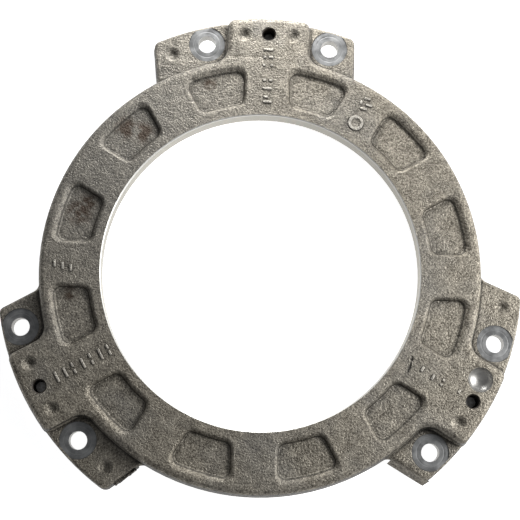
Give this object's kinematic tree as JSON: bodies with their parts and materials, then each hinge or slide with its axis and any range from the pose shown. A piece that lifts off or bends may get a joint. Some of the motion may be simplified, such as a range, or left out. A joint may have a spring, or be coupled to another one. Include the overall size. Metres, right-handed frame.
{
  "type": "clutch pressure plate",
  "caption": "Machined grey-iron clutch pressure ring with a turned friction face, drafted pockets on its cast face and bolt-on mounting lugs located by dowel pins.",
  "frame": {"origin": "on the bore axis, in the plane of the friction face", "axes": "+Z along the bore axis, from the friction face to the cast face; +Y along the centre line of the top lug; +X to the right of it, seen on the cast face"},
  "size_m": [0.2475, 0.2306, 0.018],
  "materials": {
    "cast_iron": "as cast, with machined friction face, bore, pads and spot faces",
    "dowel_steel": "ground"
  },
  "bodies": {
    "root": {"pressure_plate_casting": "cast_iron", "dowel_pin_top": "dowel_steel", "dowel_pin_right": "dowel_steel", "dowel_pin_left": "dowel_steel"}
  },
  "joints": []
}
